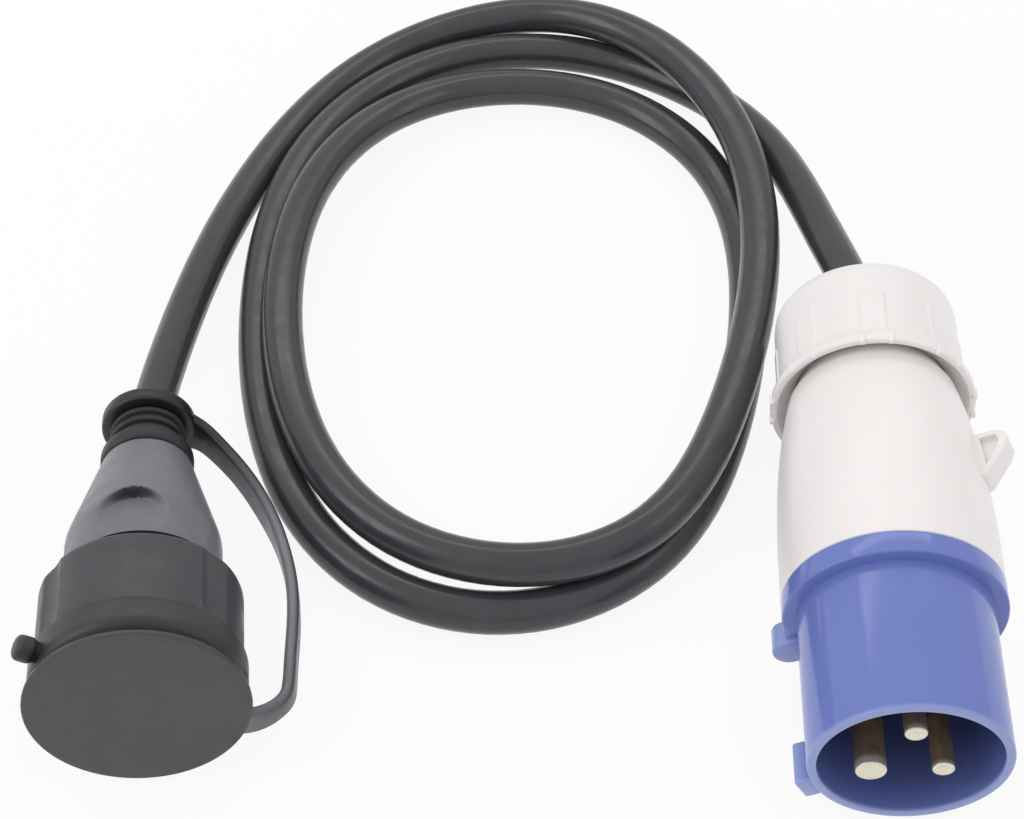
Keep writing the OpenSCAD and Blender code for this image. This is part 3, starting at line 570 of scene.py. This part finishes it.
class LeadLook(bpy.types.PropertyGroup):
    """Sizes and colours of the lead's visible pieces."""

    cable_d: bpy.props.FloatProperty(name="Cable diameter", default=0.0106, unit="LENGTH")
    cable_sides: bpy.props.IntProperty(name="Cable sides", default=28, min=12, max=48)
    strap_w: bpy.props.FloatProperty(name="Strap width, mm", default=7.0)
    strap_t: bpy.props.FloatProperty(name="Strap thickness, mm", default=2.9)
    nut_lands: bpy.props.IntProperty(name="Grip lands", default=8, min=4, max=12)
    white_colour: bpy.props.FloatVectorProperty(name="White", subtype="COLOR", default=(0.85, 0.82, 0.81))
    blue_colour: bpy.props.FloatVectorProperty(name="Blue", subtype="COLOR", default=(0.15, 0.2, 0.53))
    rubber_colour: bpy.props.FloatVectorProperty(name="Rubber", subtype="COLOR", default=(0.05, 0.049, 0.057))
    cable_colour: bpy.props.FloatVectorProperty(name="Cable", subtype="COLOR", default=(0.044, 0.044, 0.051))


class LEAD_OT_cable(bpy.types.Operator):
    """Builds the free cable along the route that the CAD model has"""

    bl_idname = "lead.cable"
    bl_label = "Cable"

    def execute(self, context):
        look = context.scene.lead_look
        points = [on_axis(COUPLING, JACKET_COUPLING + k) for k in (-17, 0, 17, 34)] + [Vector(p) for p in ROUTE]
        points += [on_axis(PLUG, JACKET_PLUG + k) for k in (44, 22, 0, -22)]
        line = spline(points, CABLE_SAMPLES) / 1000
        ring = [2 * math.pi * k / look.cable_sides for k in range(look.cable_sides)]
        radius = look.cable_d / 2
        sections = []
        for centre, t in zip(line, np.gradient(line, axis=0)):
            t = Vector(t).normalized()
            side = t.cross(Vector((0, 0, 1))).normalized()
            over = side.cross(t)
            sections.append([Vector(centre) + radius * (math.cos(a) * side + math.sin(a) * over) for a in ring])
        cable = piece(
            "cable_jacket", sweep(sections), Matrix(), material("cable_rubber"), "adapter", ("cable",), 60
        )
        return {"FINISHED"}


class LEAD_OT_plug(bpy.types.Operator):
    """Builds the plug's shroud, body and pins"""

    bl_idname = "lead.plug"
    bl_label = "Plug"

    def execute(self, context):
        blue, white = material("blue_plastic"), material("white_plastic")
        shell = revolve(rounded([
            (20.05, 42, 0), (20.05, 0, 0.7), (22.25, 0, 0.8), (22.25, 38, 0), (25.5, 38, 0.6), (25.5, 43.5, 0.4),
            (21.4, 43.5, 0), (21.4, 58, 0.3), (19.2, 58, 0.3), (19.2, 42, 0),
        ]))
        turn = turned(KEY_ANGLE, "Z")
        key = prism([(21.2, -3.2), (25.85, -3.2), (25.85, 3.2), (21.2, 3.2)], -10.9, -0.4, 0.7, turn)
        arc = [math.radians(a) for a in range(-80, 81, 20)]
        nose = [(26.1 + 4 * math.cos(a), 4 * math.sin(a)) for a in arc]
        lug = prism([(21.5, -4), *nose, (21.5, 4)], -43.4, -36.8, 0.5, turn)
        shroud = piece("shroud_shell", joined(shell, key, lug), PLUG, blue, "adapter", ("plug_shroud",))

        barrel = [(25.5 - 4.8 * (k / 24) ** 2.8, 43.6 + 57.4 * k / 24) for k in range(25)]
        profile = rounded([(21.45, 43.6, 0), (25.45, 43.6, 0.5), (25.5, 45, 0)], closed=False)
        profile += [(r, -at) for r, at in barrel[1:]]
        profile += rounded([
            (20.7, 101.2, 0), (18.4, 106, 0.6), (18.4, 121.5, 0.8), (12.6, 121.5, 0.4), (12.6, 108, 0.2),
            (6.5, 108, 0.2), (6.5, 99, 0.2), (12.6, 99, 0.2), (20.4, 86, 0), (20.4, 59, 0), (21.45, 59, 0),
        ], closed=False)
        body = piece("body_barrel", revolve(profile), PLUG, white, "adapter", ("plug_body",))
        side = turned(HOOK_ANGLE, "Z") @ turned(90, "X")
        hook = piece("body_hook", prism([
            (23.4, -68.2), (25.9, -68.6), (31, -75.6), (32, -78), (31.6, -80.2), (30, -81.4), (22.6, -81.6),
        ], -3.3, 3.3, 0.7, side), PLUG, white, "adapter")
        pocket = [(26.2, -71.8), (29.2, -76.2), (29.9, -78.2), (29.2, -79.9), (25.4, -79.9)]
        for low, high in ((-4, -1.8), (1.8, 4)):
            cut(hook, prism(pocket, low, high, 0, side), PLUG)

        for name, angle, r, tip in (
            ("earth", KEY_ANGLE, 3.5, 0.6), ("line", 90, 2.5, 1.6), ("neutral", 330, 2.5, 1.6),
        ):
            back = [(r + 1.3, 46, 0.1), (r + 1.3, 49, 0.1), (r + 0.9, 49, 0), (r + 0.9, 66, 0.2), (0.01, 66, 0)]
            stem = [
                (0.01, tip + 0.3, 0), (0.5 * r, tip + 0.2, 0.3), (0.72 * r, tip, 0.3), (r, tip + 0.15, 0.7),
                (r, 35.8, 0), (r + 0.3, 35.8, 0.1), (r + 0.3, 46, 0),
            ]
            a = math.radians(angle)
            place = Matrix.Translation((PIN_CIRCLE_R * math.cos(a), PIN_CIRCLE_R * math.sin(a), 0))
            pin = piece(
                "plug_pin_" + name, revolve(rounded(stem + back, closed=False), 64, closed=False), PLUG @ place,
                material("pin_metal"), "adapter", ("pin_" + name,),
            )
        return {"FINISHED"}


class LEAD_OT_gland(bpy.types.Operator):
    """Builds the gland nut, its grip lands and the teeth of its lip"""

    bl_idname = "lead.gland"
    bl_label = "Gland nut"

    def execute(self, context):
        white = material("white_plastic")
        nut = piece("nut_shell", revolve(rounded([
            (23.5, 101, 0.3), (25, 101, 0.7), (25, 103.4, 1), (22.7, 106.4, 2), (22.7, 131, 4.8), (8.2, 131, 0.4),
            (7.2, 130.2, 0.2), (7.2, 125, 0.2), (18.75, 125, 0.3), (18.75, 106.3, 0.2), (22.2, 103.2, 0.3),
        ])), PLUG, white, "gland_nut", ("gland_nut",))
        arc = [math.radians(a) for a in (-8.6, -4.3, 0, 4.3, 8.6)]
        pad = [(23.05 * math.cos(a), 23.05 * math.sin(a)) for a in arc] + [(21.5, 3.3), (21.5, -3.3)]
        land = prism(pad, -119.5, -105, 0.8)
        stubs = [
            prism([(23.8, y - 0.7), (25.1, y - 0.7), (25.1, y + 0.7), (23.8, y + 0.7)], -103.2, -100.3, 0.3)
            for y in (-3.4, 3.4)
        ]
        source = piece("land_source", joined(land, *stubs), Matrix(), white, None)
        lands = polar_array("nut_lands", source, context.scene.lead_look.nut_lands, 95, white)
        lands.data.transform(PLUG)
        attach(lands, "gland_nut")
        return {"FINISHED"}


def flute(r, z, a):
    """Collar radius with its four shallow flutes, fading out towards the cap."""
    if r < 22.3 or z > -11.2:
        return r
    cutdown = r
    centre = COLLAR_R + FLUTE_R - FLUTE_DEPTH
    for at in FLUTE_ANGLES:
        d = apart(a, at)
        off = centre * math.sin(d)
        if abs(d) < 0.6 and abs(off) < FLUTE_R:
            cutdown = min(cutdown, centre * math.cos(d) - math.sqrt(FLUTE_R**2 - off**2))
    return r - (r - cutdown) * smoothstep(11.4, 13.5, -z)


def thumb(r, z, a):
    """Grip radius with the two flat thumb recesses: an arched wall at the rear, running out towards the collar."""
    if r < 14 or not -58 < z < -35.5:
        return r
    for at in THUMB_ANGLES:
        d = apart(a, at)
        if abs(d) < 1:
            inner = (THUMB_FLOOR_R + THUMB_SLOPE * (THUMB_FLOOR_AT + z)) / math.cos(d)
            up = -z - THUMB_ARCH_AT
            edge = THUMB_ARCH_R - math.hypot(r * math.sin(d), up) if up > 0 else THUMB_WALL
            return min(r, r - (r - inner) * smoothstep(0, THUMB_WALL, edge))
    return r


class LEAD_OT_coupling(bpy.types.Operator):
    """Builds the coupling's collar, grip and neck sleeve"""

    bl_idname = "lead.coupling"
    bl_label = "Coupling"

    def execute(self, context):
        ring = rounded([
            (20.7, 3.1, 0.3), (22, 3.1, 0.6), (22, 10.8, 0), (COLLAR_R, 10.8, 0.5), (COLLAR_R, 30.9, 4.6),
            (19.3, 30.9, 0.3), (18.38, 29.3, 0.1), (18.38, 27.9, 0), (20.7, 27.9, 0),
        ], 6)
        collar = piece(
            "collar_shell", revolve(divided(ring, 1.2), 288, flute), COUPLING, material("dark_rubber"), "adapter",
            ("coupling_collar",),
        )

        outer = [
            (20.5, 26, 0), (20.5, 27.8, 0.2), (17.4, 28, 0), (17.4, 31, 0), (18.3, 31.2, 0), (18.3, 33.2, 0.1),
            (17.2, 33.4, 0), (17.2, 35.2, 0), (18.3, 35.4, 0.1), (18.3, 46.9, 2), (10.9, 73, 0.7), (10.3, 73.4, 0),
        ]
        inner = [
            (8.65, 73.4, 0), (8.65, 65.4, 0), (11.3, 65.4, 0), (12.75, 59, 0), (12.75, 32, 0), (16.6, 31, 0),
            (16.6, 26, 0),
        ]
        profile = rounded(outer + inner, 5)
        skin = []
        for k, (r, z) in enumerate(profile):
            skin.append((r, z))
            following = profile[(k + 1) % len(profile)]
            if min(r, following[0]) > 10.2 and -73 < z < -27 and following[1] < z:
                count = max(1, int((z - following[1]) / GRIP_ROW))
                skin += [tuple(Vector((r, z)).lerp(Vector(following), n / count)) for n in range(1, count)]
        grip = piece(
            "grip_cone", revolve(skin, GRIP_SEGMENTS, thumb), COUPLING, material("grey_rubber"), "adapter",
            ("coupling_grip",), 50,
        )

        bead_end, ridge_step = 77.8, 3.07
        neck = [
            (5.35, 65.8, 0.1), (8.6, 65.8, 0.2), (8.6, 73.4, 0), (11.3, 73.4, 2.1), (11.3, bead_end, 2.1),
            (8, bead_end, 0.3),
        ]
        for k in range(3):
            start = bead_end + ridge_step * k
            neck += [(8, start + 0.5, 0.3), (9.35, start + 0.9, 0.5), (9.35, start + 2.1, 0.5), (8, start + 2.6, 0.3)]
        neck += [(8, 91, 0.2), (9, 91.2, 0.6), (9, 93, 0.8), (6.3, 93, 0.4), (5.35, 78, 0)]
        sleeve = piece(
            "sleeve_neck", revolve(rounded(neck), 96), COUPLING, material("black_rubber"), "adapter",
            ("neck_sleeve",),
        )
        return {"FINISHED"}


class LEAD_OT_cap(bpy.types.Operator):
    """Builds the cap, its pull nub and the strap that runs from the neck to the cap"""

    bl_idname = "lead.cap"
    bl_label = "Cap and tether"

    def execute(self, context):
        look = context.scene.lead_look
        face = [
            (0.01, -0.9, 0), (25.1, -0.9, 0.7), (24.9, 0.4, 0.3), (22.4, 0.7, 0.2), (22.4, 1.8, 0.3),
            (23.7, 3.2, 0.6), (24.2, 4.6, 0.8), (24.2, 10.5, 0.7),
        ]
        under = [(22.6, 10.5, 0.4), (22.6, 2.8, 0.5), (0.01, 2.8, 0)]
        disc = revolve(divided(rounded(face + under, 5, closed=False), 2.5, closed=False), 160, closed=False)
        nub = revolve(rounded([
            (0.01, -1.2, 0), (2.3, -1.2, 0), (2.5, 0.6, 0.5), (2.95, 1.3, 1), (2.95, 4.7, 2.1), (0.01, 5, 0),
        ], 5, closed=False), 32, closed=False)
        place = turned(NUB_ANGLE, "Z") @ Matrix.Translation((24.3, 0, -6.2)) @ turned(-90, "Y")
        nub = ([tuple(place @ Vector(v)) for v in nub[0]], nub[1])
        cap = piece("cap_shell", joined(disc, nub), COUPLING, material("cap_rubber"), "cap", ("cap",))

        turn = turned(STRAP_ANGLE, "Z")
        path = spline([(r, down, -at) for r, down, at in (
            (5, 0, 89), (9.5, 0, 89), (13.5, 0, 87.8), (18, 0, 82.4), (23, 0, 75.9), (28, 0, 66.7), (32.8, 0, 54.5),
            (35.5, 0, 40.8), (35.4, 0, 27.5), (34.3, 0, 16.5), (34, 0, 8), (32.8, -0.4, 5.2), (30.4, -1.1, 2.8),
            (27.4, -1.9, 1.2), (24.4, -2.5, 0.6), (22, -2.8, 0.6), (19, -3, 0.6),
        )], STRAP_SAMPLES)
        sections = []
        for centre, t in zip(path, np.gradient(path, axis=0)):
            t = Vector(t).normalized()
            out = Vector((-t.z, 0, t.x)).normalized()
            upright = smoothstep(-70, -45, centre[2]) * (1 - smoothstep(-9, -3, centre[2]))
            side = Matrix.Rotation(math.radians(STRAP_TWIST) * upright, 3, t) @ t.cross(out)
            out = side.cross(t)
            width = look.strap_w + STRAP_FLARE * math.exp((STRAP_FLARE_AT - centre[0]) / STRAP_FLARE_FADE)
            bar = round_bar(width, look.strap_t, STRAP_EDGE * look.strap_t, 5)
            sections.append([Vector(centre) + side * u + out * v for u, v in bar])
        hoop = revolve(rounded([(8.2, 86.8, 0.4), (11.5, 86.8, 0.9), (11.5, 90.7, 0.9), (8.2, 90.7, 0.4)]), 96)
        strap = piece(
            "tether_strap", joined(sweep(sections), hoop), COUPLING @ turn, material("strap_rubber"), None,
            ("cap_tether",),
        )
        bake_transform(strap)
        return {"FINISHED"}


class LEAD_OT_inner(bpy.types.Operator):
    """Gives the CAD pieces that stay, mostly inside, their materials"""

    bl_idname = "lead.inner"
    bl_label = "Inner pieces"

    def execute(self, context):
        slots = {s["node"]: s["material_slot"] for s in frame["record"]["subparts"]}
        for name, obj in frame["nodes"].items():
            obj.data.materials.clear()
            obj.data.materials.append(material(slots[name]))
        return {"FINISHED"}


def white_floor():
    """White paper that the camera and reflections see as white, with the object's shadow still on it."""
    paper = Shader("floor_paper")
    paper.finish(paper.ramp(paper.noise(9, 2), (0.3, (0.88, 0.88, 0.88)), (0.7, (0.9, 0.9, 0.9))))
    paper.set(Roughness=0.9, Specular_IOR_Level=0.0)
    glow = paper.add("ShaderNodeEmission")
    glow.inputs["Strength"].default_value = 1.0
    pale = paper.add("ShaderNodeMixShader")
    pale.inputs[0].default_value = 0.9
    paper.link(paper.bsdf.outputs[0], pale.inputs[1])
    paper.link(glow.outputs[0], pale.inputs[2])
    rays = paper.add("ShaderNodeLightPath")
    seen = rays.outputs["Is Camera Ray"]
    for kind in ("Is Glossy Ray", "Is Transmission Ray"):
        either = paper.add("ShaderNodeMath", operation="MAXIMUM")
        paper.link(seen, either.inputs[0])
        paper.link(rays.outputs[kind], either.inputs[1])
        seen = either.outputs[0]
    choice = paper.add("ShaderNodeMixShader")
    paper.link(seen, choice.inputs[0])
    paper.link(paper.bsdf.outputs[0], choice.inputs[1])
    paper.link(pale.outputs[0], choice.inputs[2])
    paper.link(choice.outputs[0], paper.tree.nodes["Material Output"].inputs["Surface"])
    return paper.material


def studio():
    """A soft sky, brighter overhead; the camera sees it as white."""
    world = bpy.data.worlds.new("studio")
    world.use_nodes = True
    tree = world.node_tree
    coords = tree.nodes.new("ShaderNodeTexCoord")
    slope = tree.nodes.new("ShaderNodeVectorMath")
    slope.operation = "DOT_PRODUCT"
    slope.inputs[1].default_value = (-0.04, 0, 0.22)
    level = tree.nodes.new("ShaderNodeMath")
    level.inputs[1].default_value = 0.68
    rays = tree.nodes.new("ShaderNodeLightPath")
    seen = tree.nodes.new("ShaderNodeMix")
    seen.inputs["B"].default_value = 1.0
    tree.links.new(coords.outputs["Generated"], slope.inputs[0])
    tree.links.new(slope.outputs["Value"], level.inputs[0])
    tree.links.new(rays.outputs["Is Camera Ray"], seen.inputs["Factor"])
    tree.links.new(level.outputs[0], seen.inputs["A"])
    background = tree.nodes["Background"]
    background.inputs["Color"].default_value = (1, 1, 1, 1)
    tree.links.new(seen.outputs[0], background.inputs["Strength"])
    return world


class LEAD_OT_stage(bpy.types.Operator):
    """Sets the floor, the light and the camera"""

    bl_idname = "lead.stage"
    bl_label = "Stage"

    def execute(self, context):
        scene = context.scene
        mesh = bpy.data.meshes.new("floor")
        mesh.from_pydata([(-3, -3, 0), (3, -3, 0), (3, 3, 0), (-3, 3, 0)], [], [(0, 1, 2, 3)])
        floor = bpy.data.objects.new("floor", mesh)
        scene.collection.objects.link(floor)
        floor.location.z = -0.0002
        mesh.materials.append(white_floor())
        scene.world = studio()

        def panel(name, place, aim, size, power):
            """A rectangular light that points at a place."""
            light = bpy.data.lights.new(name, "AREA")
            light.shape, light.size, light.size_y, light.energy = "RECTANGLE", size[0], size[1], power
            obj = bpy.data.objects.new(name, light)
            scene.collection.objects.link(obj)
            obj.location = place
            obj.rotation_euler = (Vector(aim) - Vector(place)).to_track_quat("-Z", "Y").to_euler()

        panel("back_box", (-0.05, 0.85, 0.95), (0, 0.05, 0), (1.6, 0.22), 1.9)
        panel("left_box", (-1.1, -0.2, 0.75), (0, 0, 0), (0.5, 1.0), 3.6)
        panel("right_box", (1.1, -0.1, 0.7), (0, 0, 0), (0.4, 1.0), 1.3)

        camera = bpy.data.cameras.new("camera")
        camera.sensor_fit, camera.sensor_width, camera.lens = "HORIZONTAL", SENSOR, FOCAL_PX * SENSOR / WIDTH_PX
        camera.clip_start = 0.01
        eye = bpy.data.objects.new("camera", camera)
        eye.location = (-0.005, -0.3032, 0.4145)
        eye.rotation_euler = (math.radians(41), 0, 0)
        scene.collection.objects.link(eye)
        scene.camera = eye
        scene.view_settings.view_transform = "Standard"
        return {"FINISHED"}


OPERATORS = (
    LEAD_OT_inner, LEAD_OT_cable, LEAD_OT_plug, LEAD_OT_gland, LEAD_OT_coupling, LEAD_OT_cap, LEAD_OT_stage,
)


class LEAD_PT_panel(bpy.types.Panel):
    """Sidebar panel with the lead's colours, sizes and build steps"""

    bl_idname = "LEAD_PT_panel"
    bl_label = "Plug adapter lead"
    bl_space_type = "VIEW_3D"
    bl_region_type = "UI"
    bl_category = "Lead"

    def draw(self, context):
        look = context.scene.lead_look
        for key in look.bl_rna.properties.keys():
            if key not in ("rna_type", "name"):
                self.layout.prop(look, key)
        for operator in OPERATORS:
            self.layout.operator(operator.bl_idname)


CLASSES = (LeadLook, *OPERATORS, LEAD_PT_panel)


def register():
    for cls in CLASSES:
        bpy.utils.register_class(cls)
    bpy.types.Scene.lead_look = bpy.props.PointerProperty(type=LeadLook)


def unregister():
    del bpy.types.Scene.lead_look
    for cls in reversed(CLASSES):
        bpy.utils.unregister_class(cls)


def main():
    register()
    bpy.ops.lead.inner()
    bpy.ops.lead.cable()
    bpy.ops.lead.plug()
    bpy.ops.lead.gland()
    bpy.ops.lead.coupling()
    bpy.ops.lead.cap()
    bpy.ops.lead.stage()


if __name__ == "__main__":
    main()
